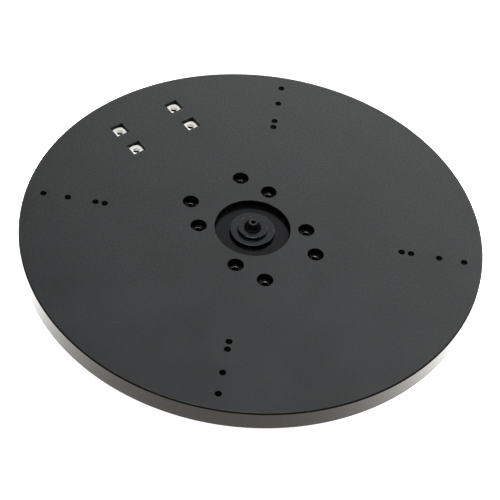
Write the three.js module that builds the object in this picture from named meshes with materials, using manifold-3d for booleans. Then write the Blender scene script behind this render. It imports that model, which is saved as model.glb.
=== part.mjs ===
// Rotary table: a round table plate that turns on a low ball-bearing base.
// Millimetres, +Z up. The origin is on the spin axis at the underside of the base.

import * as THREE from "three";
import { mergeVertices } from "three/addons/utils/BufferGeometryUtils.js";
import Module from "manifold-3d";

const wasm = await Module();
wasm.setup();

// ---------------------------------------------------------------- driving dimensions

// Gap left between two pieces that touch on the real object.
const seatGap = 0.3;
// Extra radius of a hole that a screw shank passes through.
const screwClearance = 0.4;
// How far a cutter reaches past the face that it breaks through.
const overcut = 1;
// Segments round a full turn, by the size of the round shape.
const rimSegments = 80;
const ringSegments = 36;
const boreSegments = 16;
const smallSegments = 12;
const ballSegments = [10, 7];

// Table plate.
const tableRadius = 185;
const tableThickness = 18;
const rimChamfer = 1;
const centerBoreRadius = 30;
const centerBoreChamfer = 0.5;

// Tapped holes: one row along each half of the X and Y axes, each hole this far in from the rim.
const tappedHoleRadius = 2.5;
const tappedHoleInsets = [65, 57.5, 35, 15];
const tappedRowAngles = [0, 90, 180, 270];

// Table screws (socket head cap screws) on a grid turned by this angle.
const gridAngle = 135;
const tableScrewSpots = [
  [50, 25],
  [50, -25],
  [25, 35],
  [25, -35],
  [-25, 35],
  [-25, -35],
  [-50, 25],
  [-50, -25],
];
const tableScrew = { shankRadius: 4, headRadius: 6, headHeight: 8, socketWidth: 6, socketDepth: 4 };
const tableScrewSink = 5.8;
// How far the screws' tips stay above the underside of the rotor flange.
const tableScrewTipInset = 1;
const counterboreClearance = 0.35;

// Captive square nuts in pockets on the same turned grid, this far in from the rim and to each side.
const nutPocketInsets = [60, 35];
const nutPocketSides = [27.5, -27.5];
const nutWidth = 11;
const nutHeight = 5;
const nutSink = 3.2;
const nutBoreRadius = 2.5;
const nutPocketClearance = 0.3;
const nutScrewHoleRadius = 3.3;

// Hub in the centre recess.
const recessDepth = 5;
const hubDiscRadius = 18;
const hubDiscRise = 3.3;
const hubCollarRadius = 12;
const hubCollarRise = 2.5;
const hubEdgeChamfer = 0.5;
const nozzleCollarRadius = 6.9;
const nozzleCollarRise = 0.9;
const nozzleFootRadius = 6.3;
const nozzleTipRadius = 3.3;
const nozzleRise = 4.5;
const nozzleBoreRadius = 2;
const nozzleShankRadius = 4;

// Spindle.
const rotorRadius = 70;
const rotorThickness = 12;
const spindleBoreRadius = 12;
const spindleTopWall = 8;

// Ball bearing 75 x 115 x 13.
const bearingBoreRadius = 37.5;
const bearingOuterRadius = 57.5;
const bearingWidth = 13;
const ballCount = 12;
const ballRadius = 5;
const grooveGap = 0.35;
const raceShoulder = 2.6;
const cageThickness = 4;
// Width of the cage beside its windows.
const cageRim = 0.75;
// How far the shoulders that hold the rings stay back from the rings' faces.
const spindleShoulderSetback = 1.4;
const clampRingSetback = 1.9;
const coverBoreSetback = 0.9;
const baseBoreSetback = 2.9;

// Clamp ring under the inner ring, with its screws.
const clampRingThickness = 5;
const clampRingRecess = 2;
const clampScrewCircle = 26;
const clampScrewCount = 4;
const clampScrew = { shankRadius: 2, headRadius: 3.5, headHeight: 4, socketWidth: 3, socketDepth: 2 };
const clampScrewThreadLength = 7;
const clampHoleSpare = 2;

// Cover that holds the outer ring, with its screws.
const coverThickness = 6;
// How far the screws stand outside the bearing.
const coverScrewOffset = 6.5;
const coverScrewCount = 6;
const coverScrewSink = 0.4;
const coverScrew = { shankRadius: 2, headRadius: 3.5, headHeight: 4, socketWidth: 3, socketDepth: 2 };
// How far the screws' tips stay above the underside of the base plate.
const coverScrewTipInset = 2;

// Running gap between the fixed cover and the turning flange, closed by the seal.
const runningGap = 3;
const sealThickness = 3.2;
const sealDip = 2;
const sealLipReach = 4;
const sealLipThickness = 0.8;
const sealLipDrop = 0.7;

// Base plate, and the bearing housing that stands on it.
const baseRadius = 112;
const baseThickness = 10;
const housingWall = 14.5;
const edgeChamfer = 1.5;
const holdDownInset = 18;
const holdDownCount = 4;
const holdDownHoleRadius = 4.5;
const holdDownHeadRadius = 7.5;
const holdDownHeadDepth = 5;

// ---------------------------------------------------------------- derived sizes

const pitchRadius = (bearingBoreRadius + bearingOuterRadius) / 2;
const innerFaceRadius = pitchRadius - raceShoulder;
const outerFaceRadius = pitchRadius + raceShoulder;
const journalRadius = bearingBoreRadius - seatGap;
const spindleShoulderRadius = innerFaceRadius - spindleShoulderSetback;
const clampRingOuterRadius = innerFaceRadius - clampRingSetback;
const coverBoreRadius = outerFaceRadius + coverBoreSetback;
const baseBoreRadius = outerFaceRadius + baseBoreSetback;
const housingRadius = bearingOuterRadius + housingWall;
const coverScrewCircle = bearingOuterRadius + coverScrewOffset;
const holdDownCircle = baseRadius - holdDownInset;
const cageWidth = 2 * (ballRadius + grooveGap + cageRim);
const nutPocketWidth = nutWidth + 2 * nutPocketClearance;
const nutPocketDepth = nutSink + nutHeight + seatGap;

const bearingBottom = baseThickness + seatGap;
const bearingTop = bearingBottom + bearingWidth;
const coverBottom = bearingTop + seatGap;
const coverTop = coverBottom + coverThickness;
const rotorBottom = coverTop + runningGap;
const rotorTop = rotorBottom + rotorThickness;
const plateBottom = rotorTop + seatGap;
const plateTop = plateBottom + tableThickness;
const recessFloor = plateTop - recessDepth;
const ballHeight = bearingBottom + bearingWidth / 2;
const journalBottom = bearingBottom + clampRingRecess;
const clampTop = bearingBottom - seatGap;
const clampBottom = clampTop - clampRingThickness;

// ---------------------------------------------------------------- geometry helpers

const degrees = Math.PI / 180;

/** Position-only copy of a geometry, with shared vertices merged. */
function bare(geometry) {
  const positions = new THREE.BufferGeometry();
  positions.setAttribute("position", geometry.getAttribute("position"));
  if (geometry.index) positions.setIndex(geometry.index);
  return mergeVertices(positions, 1e-4);
}

/** Solid of revolution about Z from a closed outline of [radius, height] points. */
function turned(outline, segments) {
  const area = outline.reduce((sum, [r, z], i) => {
    const [nextR, nextZ] = outline[(i + 1) % outline.length];
    return sum + r * nextZ - nextR * z;
  }, 0);
  const ordered = area > 0 ? outline : [...outline].reverse();
  const points = [...ordered, ordered[0]].map(([r, z]) => new THREE.Vector2(r, z));
  const geometry = new THREE.LatheGeometry(points, segments);
  return bare(geometry.rotateX(Math.PI / 2));
}

/** Upright round rod between two heights. */
function rod(radius, bottom, top, segments) {
  const geometry = new THREE.CylinderGeometry(radius, radius, top - bottom, segments);
  geometry.rotateX(Math.PI / 2).translate(0, 0, (bottom + top) / 2);
  return bare(geometry);
}

/** Upright block of square or rectangular section between two heights. */
function block(width, depth, bottom, top) {
  const geometry = new THREE.BoxGeometry(width, depth, top - bottom);
  return bare(geometry.translate(0, 0, (bottom + top) / 2));
}

/** Hexagonal prism with its flats this far apart. */
function hexagon(flats, bottom, top) {
  return rod(flats / 2 / Math.cos(30 * degrees), bottom, top, 6);
}

/** The geometry as a solid that can be joined and cut. */
function solid(geometry) {
  return new wasm.Manifold(
    new wasm.Mesh({
      numProp: 3,
      vertProperties: new Float32Array(geometry.getAttribute("position").array),
      triVerts: new Uint32Array(geometry.index.array),
    }),
  );
}

/** The geometry of a solid. */
function geometryOf(body) {
  const mesh = body.getMesh();
  const geometry = new THREE.BufferGeometry();
  geometry.setAttribute("position", new THREE.BufferAttribute(mesh.vertProperties, 3));
  geometry.setIndex(new THREE.BufferAttribute(mesh.triVerts, 1));
  return geometry;
}

/** One geometry with a list of others cut out of it. */
function cut(geometry, cutters) {
  return geometryOf(cutters.reduce((body, cutter) => body.subtract(solid(cutter)), solid(geometry)));
}

/** Copy of a geometry moved to a spot in the plane. */
function movedTo(geometry, [x, y]) {
  return geometry.clone().translate(x, y, 0);
}

/** A spot given on the turned grid, in the table's own X and Y. */
function gridSpot([along, across]) {
  const angle = gridAngle * degrees;
  const x = along * Math.cos(angle) - across * Math.sin(angle);
  const y = along * Math.sin(angle) + across * Math.cos(angle);
  return [x, y];
}

/** Spots evenly spaced on a circle, the first at the given angle in degrees. */
function circleSpots(radius, count, firstAngle) {
  return Array.from({ length: count }, (_, i) => {
    const angle = (firstAngle + (360 * i) / count) * degrees;
    return [radius * Math.cos(angle), radius * Math.sin(angle)];
  });
}

const nutPocketSpots = nutPocketInsets.flatMap((inset) => {
  return nutPocketSides.map((side) => [tableRadius - inset, side]);
});
const clampScrewCenters = circleSpots(clampScrewCircle, clampScrewCount, 45);
const coverScrewCenters = circleSpots(coverScrewCircle, coverScrewCount, 30);

// ---------------------------------------------------------------- finishes

const finishes = {
  blackAnodised: { color: 0x3d4142, roughness: 0.5, metalness: 0.6 },
  darkAnodised: { color: 0x2a2c2f, roughness: 0.45, metalness: 0.6 },
  blackOxide: { color: 0x1f1d1b, roughness: 0.45, metalness: 0.7 },
  brightPlated: { color: 0xc8ccce, roughness: 0.3, metalness: 1 },
  bearingSteel: { color: 0xb9bdc0, roughness: 0.2, metalness: 1 },
  cageBrass: { color: 0xb18a3c, roughness: 0.4, metalness: 1 },
  castIron: { color: 0x4a4d50, roughness: 0.7, metalness: 0.5 },
  rubber: { color: 0x141414, roughness: 0.9, metalness: 0 },
};

const rotaryTable = new THREE.Group();

/** Adds one named piece to the table, at a spot, turned by an angle in degrees. */
function addPiece(name, geometry, finish, spot = [0, 0], angle = 0) {
  const mesh = new THREE.Mesh(geometry, new THREE.MeshStandardMaterial(finish));
  mesh.name = name;
  mesh.position.set(spot[0], spot[1], 0);
  mesh.rotation.z = angle * degrees;
  rotaryTable.add(mesh);
}

// ---------------------------------------------------------------- pieces

/** Socket head cap screw pointing down: head top at the given height. */
function capScrew(size, headTop, length) {
  const { shankRadius, headRadius, headHeight, socketWidth, socketDepth } = size;
  const headBottom = headTop - headHeight;
  const tip = headBottom - length;
  const edge = headRadius * 0.1;
  const body = turned(
    [
      [0, tip],
      [shankRadius - edge, tip],
      [shankRadius, tip + edge],
      [shankRadius, headBottom],
      [headRadius, headBottom],
      [headRadius, headTop - edge],
      [headRadius - edge, headTop],
      [0, headTop],
    ],
    smallSegments,
  );
  return cut(body, [hexagon(socketWidth, headTop - socketDepth, headTop + overcut)]);
}

/** Disc with a chamfered rim, a centre bore, tapped rows, counterbores and nut pockets. */
function tablePlate() {
  const disc = turned(
    [
      [centerBoreRadius, plateBottom],
      [tableRadius - rimChamfer, plateBottom],
      [tableRadius, plateBottom + rimChamfer],
      [tableRadius, plateTop - rimChamfer],
      [tableRadius - rimChamfer, plateTop],
      [centerBoreRadius + centerBoreChamfer, plateTop],
      [centerBoreRadius, plateTop - centerBoreChamfer],
    ],
    rimSegments,
  );
  const below = plateBottom - overcut;
  const above = plateTop + overcut;
  const tapped = rod(tappedHoleRadius, below, above, smallSegments);
  const headRoom = tableScrew.headRadius + counterboreClearance;
  const headSeat = plateTop - tableScrewSink - tableScrew.headHeight - seatGap;
  const counterbore = rod(headRoom, headSeat, above, boreSegments);
  const shankHole = rod(tableScrew.shankRadius + screwClearance, below, above, smallSegments);
  const pocket = block(nutPocketWidth, nutPocketWidth, plateTop - nutPocketDepth, above);
  const nutScrewHole = rod(nutScrewHoleRadius, below, above, smallSegments);
  const cutters = [];
  for (const angle of tappedRowAngles) {
    for (const inset of tappedHoleInsets) {
      cutters.push(movedTo(tapped, circleSpots(tableRadius - inset, 1, angle)[0]));
    }
  }
  for (const spot of tableScrewSpots.map(gridSpot)) {
    cutters.push(movedTo(counterbore, spot));
    cutters.push(movedTo(shankHole, spot));
  }
  for (const spot of nutPocketSpots.map(gridSpot)) {
    cutters.push(movedTo(pocket.clone().rotateZ(gridAngle * degrees), spot));
    cutters.push(movedTo(nutScrewHole, spot));
  }
  return cut(disc, cutters);
}

/** Flange, spigot and journal in one turned piece, with tapped holes for its screws. */
function spindle() {
  const spigotRadius = centerBoreRadius - seatGap;
  const boreTop = recessFloor - spindleTopWall;
  const body = turned(
    [
      [spindleBoreRadius, journalBottom],
      [journalRadius, journalBottom],
      [journalRadius, bearingTop + seatGap],
      [spindleShoulderRadius, bearingTop + seatGap],
      [spindleShoulderRadius, rotorBottom],
      [rotorRadius, rotorBottom],
      [rotorRadius, rotorTop],
      [spigotRadius, rotorTop],
      [spigotRadius, recessFloor],
      [nozzleShankRadius + seatGap, recessFloor],
      [nozzleShankRadius + seatGap, boreTop],
      [spindleBoreRadius, boreTop],
    ],
    ringSegments,
  );
  const tapRadius = tableScrew.shankRadius + seatGap;
  const screwHole = rod(tapRadius, rotorBottom - overcut, rotorTop + overcut, smallSegments);
  const clampHoleTop = journalBottom + clampScrewThreadLength + clampHoleSpare;
  const clampTapRadius = clampScrew.shankRadius + seatGap;
  const clampHole = rod(clampTapRadius, journalBottom - overcut, clampHoleTop, smallSegments);
  const cutters = tableScrewSpots.map((spot) => movedTo(screwHole, gridSpot(spot)));
  cutters.push(...clampScrewCenters.map((spot) => movedTo(clampHole, spot)));
  return cut(body, cutters);
}

/** Plain washer-shaped step of the hub. */
function hubStep(radius, bottom, top) {
  return turned(
    [
      [nozzleShankRadius + seatGap, bottom],
      [radius, bottom],
      [radius, top - hubEdgeChamfer],
      [radius - hubEdgeChamfer, top],
      [nozzleShankRadius + seatGap, top],
    ],
    ringSegments,
  );
}

/** Collared cone with a through bore, and a shank that screws down into the spindle. */
function centerNozzle(foot) {
  const shankBottom = recessFloor - spindleTopWall;
  const coneFoot = foot + nozzleCollarRise;
  const tip = coneFoot + nozzleRise;
  return turned(
    [
      [nozzleBoreRadius, shankBottom],
      [nozzleShankRadius, shankBottom],
      [nozzleShankRadius, foot],
      [nozzleCollarRadius, foot],
      [nozzleCollarRadius, coneFoot],
      [nozzleFootRadius, coneFoot],
      [nozzleTipRadius, tip],
      [nozzleBoreRadius, tip],
    ],
    boreSegments,
  );
}

/** Square nut with a round bore, standing upright at this height. */
function squareNut(bottom) {
  const body = block(nutWidth, nutWidth, bottom, bottom + nutHeight);
  return cut(body, [rod(nutBoreRadius, bottom - overcut, bottom + nutHeight + overcut, smallSegments)]);
}

/** Points of the groove that the balls run in, from its lower to its upper edge. */
function grooveArc(side) {
  const grooveRadius = ballRadius + grooveGap;
  const lip = Math.asin(Math.sqrt(1 - (raceShoulder / grooveRadius) ** 2));
  const steps = 6;
  return Array.from({ length: steps + 1 }, (_, i) => {
    const angle = -lip + (2 * lip * i) / steps;
    const radius = pitchRadius + side * grooveRadius * Math.cos(angle);
    return [radius, ballHeight + grooveRadius * Math.sin(angle)];
  });
}

/** Bearing ring whose groove faces the balls; side is -1 for the inner ring, +1 for the outer. */
function bearingRing(side, backRadius) {
  const faceRadius = side < 0 ? innerFaceRadius : outerFaceRadius;
  return turned(
    [
      [backRadius, bearingBottom],
      [faceRadius, bearingBottom],
      ...grooveArc(side),
      [faceRadius, bearingTop],
      [backRadius, bearingTop],
    ],
    ringSegments,
  );
}

/** Band between the rings with one radial window for each ball. */
function ballCage() {
  const inner = pitchRadius - cageThickness / 2;
  const outer = pitchRadius + cageThickness / 2;
  const bottom = ballHeight - cageWidth / 2;
  const top = ballHeight + cageWidth / 2;
  const band = turned(
    [
      [inner, bottom],
      [outer, bottom],
      [outer, top],
      [inner, top],
    ],
    ringSegments,
  );
  const window = rod(ballRadius + grooveGap, inner - overcut * 3, outer + overcut * 3, smallSegments);
  window.rotateY(90 * degrees).translate(0, 0, ballHeight);
  const windows = Array.from({ length: ballCount }, (_, i) => {
    return window.clone().rotateZ((360 * degrees * i) / ballCount);
  });
  return cut(band, windows);
}

/** Ring that holds the inner race against the spindle shoulder. */
function clampRing() {
  const ring = turned(
    [
      [spindleBoreRadius, clampBottom],
      [clampRingOuterRadius, clampBottom],
      [clampRingOuterRadius, clampTop],
      [journalRadius, clampTop],
      [journalRadius, journalBottom - seatGap],
      [spindleBoreRadius, journalBottom - seatGap],
    ],
    ringSegments,
  );
  const screwHole = clampScrew.shankRadius + screwClearance;
  const shankHole = rod(screwHole, clampBottom - overcut, journalBottom, smallSegments);
  const headHole = rod(
    clampScrew.headRadius + screwClearance,
    clampBottom - overcut,
    clampBottom + clampScrew.headHeight + seatGap,
    smallSegments,
  );
  const holes = [shankHole, headHole];
  return cut(ring, holes.flatMap((hole) => clampScrewCenters.map((spot) => movedTo(hole, spot))));
}

/** Clamp screw: a cap screw turned head down. */
function clampScrewPiece() {
  const screw = capScrew(clampScrew, 0, clampScrewThreadLength);
  return screw.rotateX(Math.PI).translate(0, 0, clampBottom);
}

/** Ring that holds the outer race in the base, with sunk screw heads. */
function bearingCover() {
  const ring = turned(
    [
      [coverBoreRadius, coverBottom],
      [housingRadius, coverBottom],
      [housingRadius, coverTop - edgeChamfer],
      [housingRadius - edgeChamfer, coverTop],
      [coverBoreRadius, coverTop],
    ],
    ringSegments,
  );
  const headFloor = coverTop - coverScrewSink - coverScrew.headHeight - seatGap;
  const screwHole = coverScrew.shankRadius + screwClearance;
  const shankHole = rod(screwHole, coverBottom - overcut, coverTop, smallSegments);
  const headRoom = coverScrew.headRadius + screwClearance;
  const headHole = rod(headRoom, headFloor, coverTop + overcut, smallSegments);
  const holes = [shankHole, headHole];
  return cut(ring, holes.flatMap((hole) => coverScrewCenters.map((spot) => movedTo(hole, spot))));
}

/** V-ring seal stretched on the spindle shoulder, its lip resting on the cover. */
function dustSeal() {
  const inner = spindleShoulderRadius + seatGap;
  const outer = inner + sealThickness;
  const lipRadius = coverBoreRadius + sealLipReach;
  const lipBottom = coverTop + seatGap;
  const top = rotorBottom - seatGap;
  return turned(
    [
      [inner, coverTop - sealDip],
      [outer, coverTop - sealDip],
      [outer, lipBottom + sealLipDrop],
      [lipRadius, lipBottom],
      [lipRadius, lipBottom + sealLipThickness],
      [outer, top],
      [inner, top],
    ],
    ringSegments,
  );
}

/** Outer wall of the bearing seat, bored for the outer ring and for the cover screws. */
function bearingHousing() {
  const body = turned(
    [
      [bearingOuterRadius + seatGap, bearingBottom],
      [housingRadius, bearingBottom],
      [housingRadius, bearingTop],
      [bearingOuterRadius + seatGap, bearingTop],
    ],
    ringSegments,
  );
  const screwHole = coverScrew.shankRadius + screwClearance;
  const hole = rod(screwHole, bearingBottom - overcut, bearingTop + overcut, smallSegments);
  return cut(body, coverScrewCenters.map((spot) => movedTo(hole, spot)));
}

/** Round base plate: carries the outer ring, and has counterbored hold-down holes. */
function basePlate() {
  const body = turned(
    [
      [baseBoreRadius, 0],
      [baseRadius - edgeChamfer, 0],
      [baseRadius, edgeChamfer],
      [baseRadius, baseThickness - edgeChamfer],
      [baseRadius - edgeChamfer, baseThickness],
      [baseBoreRadius, baseThickness],
    ],
    ringSegments,
  );
  const above = baseThickness + overcut;
  const bolt = rod(holdDownHoleRadius, -overcut, above, smallSegments);
  const head = rod(holdDownHeadRadius, baseThickness - holdDownHeadDepth, above, boreSegments);
  const tapBottom = coverScrewTipInset - seatGap;
  const tap = rod(coverScrew.shankRadius + seatGap, tapBottom, above, smallSegments);
  const cutters = coverScrewCenters.map((spot) => movedTo(tap, spot));
  for (const spot of circleSpots(holdDownCircle, holdDownCount, 45)) {
    cutters.push(movedTo(bolt, spot));
    cutters.push(movedTo(head, spot));
  }
  return cut(body, cutters);
}

// ---------------------------------------------------------------- assembly

addPiece("table_plate", tablePlate(), finishes.blackAnodised);
addPiece("spindle", spindle(), finishes.darkAnodised);

const hubDiscTop = recessFloor + hubDiscRise;
const hubCollarTop = hubDiscTop + hubCollarRise;
addPiece("hub_disc", hubStep(hubDiscRadius, recessFloor + seatGap, hubDiscTop), finishes.blackAnodised);
addPiece("hub_collar", hubStep(hubCollarRadius, hubDiscTop + seatGap, hubCollarTop), finishes.blackAnodised);
addPiece("center_nozzle", centerNozzle(hubCollarTop + seatGap), finishes.blackOxide);

const tableScrewTop = plateTop - tableScrewSink;
const tableScrewLength = tableScrewTop - tableScrew.headHeight - rotorBottom - tableScrewTipInset;
const tableScrewShape = capScrew(tableScrew, tableScrewTop, tableScrewLength);
tableScrewSpots.forEach((spot, i) => {
  addPiece(`table_screw_${i + 1}`, tableScrewShape.clone(), finishes.blackOxide, gridSpot(spot), 20 * i);
});

const nutShape = squareNut(plateTop - nutPocketDepth + seatGap);
nutPocketSpots.forEach((spot, i) => {
  addPiece(`square_nut_${i + 1}`, nutShape.clone(), finishes.brightPlated, gridSpot(spot), gridAngle);
});

addPiece("bearing_inner_ring", bearingRing(-1, bearingBoreRadius), finishes.bearingSteel);
addPiece("bearing_outer_ring", bearingRing(1, bearingOuterRadius), finishes.bearingSteel);
addPiece("ball_cage", ballCage(), finishes.cageBrass);
circleSpots(pitchRadius, ballCount, 0).forEach((spot, i) => {
  const ball = bare(new THREE.SphereGeometry(ballRadius, ...ballSegments).translate(0, 0, ballHeight));
  addPiece(`bearing_ball_${i + 1}`, ball, finishes.bearingSteel, spot);
});

addPiece("clamp_ring", clampRing(), finishes.darkAnodised);
clampScrewCenters.forEach((spot, i) => {
  addPiece(`clamp_screw_${i + 1}`, clampScrewPiece(), finishes.blackOxide, spot);
});

addPiece("bearing_cover", bearingCover(), finishes.darkAnodised);
const coverScrewTop = coverTop - coverScrewSink;
const coverScrewLength = coverScrewTop - coverScrew.headHeight - coverScrewTipInset;
const coverScrewShape = capScrew(coverScrew, coverScrewTop, coverScrewLength);
coverScrewCenters.forEach((spot, i) => {
  addPiece(`cover_screw_${i + 1}`, coverScrewShape.clone(), finishes.blackOxide, spot);
});
addPiece("dust_seal", dustSeal(), finishes.rubber);
addPiece("bearing_housing", bearingHousing(), finishes.castIron);
addPiece("base_plate", basePlate(), finishes.castIron);

export default rotaryTable;
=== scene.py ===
"""Rotary table: a black anodised table plate on a low ball-bearing base.

Every visible piece is rebuilt here as a fine mesh in the place of its plain frame node, gets its own
finish, and rides on the body that carries that node. All sizes are in metres.
"""

from __future__ import annotations

import logging
import math
from collections.abc import Callable, Sequence
from dataclasses import dataclass
from enum import Enum

import bmesh
import bpy
from mathutils import Matrix, Vector


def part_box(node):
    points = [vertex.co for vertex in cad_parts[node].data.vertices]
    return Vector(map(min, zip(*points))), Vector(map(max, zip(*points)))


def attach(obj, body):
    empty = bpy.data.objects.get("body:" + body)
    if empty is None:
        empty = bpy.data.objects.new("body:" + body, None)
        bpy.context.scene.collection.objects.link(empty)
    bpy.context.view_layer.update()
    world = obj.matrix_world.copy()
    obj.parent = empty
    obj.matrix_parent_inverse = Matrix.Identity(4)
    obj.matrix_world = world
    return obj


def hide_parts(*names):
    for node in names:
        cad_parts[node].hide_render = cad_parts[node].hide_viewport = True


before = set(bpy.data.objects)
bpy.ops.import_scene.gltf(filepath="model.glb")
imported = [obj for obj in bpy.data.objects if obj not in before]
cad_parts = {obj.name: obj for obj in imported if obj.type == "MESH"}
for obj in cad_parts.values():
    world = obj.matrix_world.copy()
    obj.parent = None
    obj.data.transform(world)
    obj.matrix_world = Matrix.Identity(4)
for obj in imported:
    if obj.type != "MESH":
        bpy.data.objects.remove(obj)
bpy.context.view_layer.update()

log = logging.getLogger("rotary_table")

MM = 0.001
AXIS_TOLERANCE = 1e-7
OVERCUT = 1 * MM
EDGE = "edge"
EDGE_FADE = 0.4
GROOVE = (0.45, 0.55)
WHITE = (1.0, 1.0, 1.0)

Piece = bpy.types.Object
Face = bpy.types.MeshPolygon
Material = bpy.types.Material
Socket = bpy.types.NodeSocket
Triple = tuple[float, float, float]
Colour = Triple
Value = float | Colour | Socket


class Body(Enum):
    """The three bodies of the frame that pieces ride on."""

    BASE = "base"
    TABLE = "table"
    BALL_SET = "ball_set"


class Slot(Enum):
    """The record's material slots."""

    BLACK_ANODISED = "black_anodised"
    DARK_ANODISED = "dark_anodised"
    BLACK_OXIDE = "black_oxide"
    BRIGHT_PLATED = "bright_plated"
    BEARING_STEEL = "bearing_steel"
    CAGE_BRASS = "cage_brass"
    SEAL_RUBBER = "seal_rubber"
    CAST_IRON = "cast_iron"


class Operation(Enum):
    """What becomes of a piece when other solids are combined with it."""

    CUT = "DIFFERENCE"
    KEEP_SHARED = "INTERSECT"


class Fineness(Enum):
    """Segments round a full turn, by how large the turned shape is."""

    RIM = 384
    RING = 160
    BOSS = 96
    SCREW = 48


# ------------------------------------------------------------------------------------ shapes


@dataclass(frozen=True)
class Extent:
    """Where an upright round or square node stands: its centre, half width, bottom and top."""

    x: float
    y: float
    radius: float
    bottom: float
    top: float

    @classmethod
    def of(cls, node: str) -> Extent:
        """Measures a frame node.

        Args:
            node: The node's name.

        Returns:
            The node's extent, its radius taken from the wider of its two sides.
        """
        low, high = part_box(node)
        radius = max(high.x - low.x, high.y - low.y) / 2
        return cls((low.x + high.x) / 2, (low.y + high.y) / 2, radius, low.z, high.z)


def extents(prefix: str, count: int) -> list[Extent]:
    """Measures numbered frame nodes, such as all screws of one kind."""
    return [Extent.of(f"{prefix}_{number}") for number in range(1, count + 1)]


@dataclass(frozen=True)
class Corner:
    """A corner of a turned outline, with the radius of its rounding."""

    radius: float
    height: float
    fillet: float = 0.0

    @property
    def place(self) -> Vector:
        """The corner as a point of the outline's plane."""
        return Vector((self.radius, self.height))


@dataclass(frozen=True)
class OutlinePoint:
    """A point of a rounded outline; edge is 1 on a rounding and 0 elsewhere."""

    radius: float
    height: float
    edge: float


def rounded(corners: Sequence[Corner], steps: int) -> list[OutlinePoint]:
    """Rounds the corners of a closed outline.

    Args:
        corners: The outline's corners in order.
        steps: How many straight steps each rounding takes.

    Returns:
        The outline's points, each rounding as an arc.
    """
    points: list[OutlinePoint] = []
    for index, corner in enumerate(corners):
        if corner.fillet <= 0:
            points.append(OutlinePoint(corner.radius, corner.height, 0.0))
            continue
        here = corner.place
        back = (corners[index - 1].place - here).normalized()
        ahead = (corners[(index + 1) % len(corners)].place - here).normalized()
        half_angle = back.angle(ahead) / 2
        reach = corner.fillet / math.tan(half_angle)
        centre = here + (back + ahead).normalized() * corner.fillet / math.sin(half_angle)
        start = here + back * reach - centre
        end = here + ahead * reach - centre
        first = math.atan2(start.y, start.x)
        sweep = math.remainder(math.atan2(end.y, end.x) - first, math.tau)
        before = here + back * (reach + corner.fillet * EDGE_FADE)
        after = here + ahead * (reach + corner.fillet * EDGE_FADE)
        points.append(OutlinePoint(before.x, before.y, 0.0))
        for step in range(steps + 1):
            angle = first + sweep * step / steps
            radius = centre.x + corner.fillet * math.cos(angle)
            height = centre.y + corner.fillet * math.sin(angle)
            points.append(OutlinePoint(radius, height, 1.0))
        points.append(OutlinePoint(after.x, after.y, 0.0))
    return points


def object_from(name: str, mesh: bmesh.types.BMesh) -> Piece:
    """Turns a bmesh into a named object in the scene.

    Args:
        name: The object's name.
        mesh: The mesh, which is freed.

    Returns:
        The new object.
    """
    bmesh.ops.recalc_face_normals(mesh, faces=mesh.faces)
    data = bpy.data.meshes.new(name)
    mesh.to_mesh(data)
    mesh.free()
    piece = bpy.data.objects.new(name, data)
    bpy.context.collection.objects.link(piece)
    return piece


def turned(name: str, corners: Sequence[Corner], fineness: Fineness, steps: int = 3) -> Piece:
    """Turns a closed outline about the Z axis.

    Args:
        name: The new object's name.
        corners: The outline, closed on itself or along the axis.
        fineness: How many segments a full turn has.
        steps: Straight steps in each rounding.

    Returns:
        The turned solid, with its roundings marked in a vertex attribute named edge.
    """
    count = fineness.value
    mesh = bmesh.new()
    edge = mesh.verts.layers.float.new(EDGE)
    turns = [math.tau * i / count for i in range(count)]
    rings: list[list[bmesh.types.BMVert]] = []
    for point in rounded(corners, steps):
        angles = turns if point.radius > AXIS_TOLERANCE else [0.0]
        ring = []
        for angle in angles:
            x = point.radius * math.cos(angle)
            y = point.radius * math.sin(angle)
            vertex = mesh.verts.new((x, y, point.height))
            vertex[edge] = point.edge
            ring.append(vertex)
        rings.append(ring)
    for ring, following in zip(rings, rings[1:] + rings[:1]):
        if len(ring) == 1 and len(following) == 1:
            continue
        for i in range(count):
            j = (i + 1) % count
            around = [ring[i % len(ring)], ring[j % len(ring)]]
            around += [following[j % len(following)], following[i % len(following)]]
            mesh.faces.new(list(dict.fromkeys(around)))
    return object_from(name, mesh)


def prism(name: str, footprint: Sequence[Vector], bottom: float, top: float) -> Piece:
    """Stands a flat footprint up as a prism.

    Args:
        name: The new object's name.
        footprint: The footprint's points in order.
        bottom: Height of the lower face.
        top: Height of the upper face.

    Returns:
        The prism.
    """
    mesh = bmesh.new()
    low = [mesh.verts.new((p.x, p.y, bottom)) for p in footprint]
    high = [mesh.verts.new((p.x, p.y, top)) for p in footprint]
    mesh.faces.new(low)
    mesh.faces.new(high)
    for i in range(len(low)):
        j = (i + 1) % len(low)
        mesh.faces.new((low[i], low[j], high[j], high[i]))
    return object_from(name, mesh)


def rounded_polygon(sides: int, flats: float, fillet: float, steps: int = 5) -> list[Vector]:
    """Makes a regular polygon with rounded corners.

    Args:
        sides: How many sides it has.
        flats: Distance across two facing sides.
        fillet: Radius of each corner.
        steps: Straight steps in each corner.

    Returns:
        The polygon's points, one flat facing +X.
    """
    half_turn = math.pi / sides
    out = (flats / 2 - fillet) / math.cos(half_turn)
    points = []
    for side in range(sides):
        middle = half_turn * (2 * side + 1)
        centre = Vector((math.cos(middle), math.sin(middle))) * out
        for step in range(steps + 1):
            angle = middle - half_turn + 2 * half_turn * step / steps
            points.append(centre + Vector((math.cos(angle), math.sin(angle))) * fillet)
    return points


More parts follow.
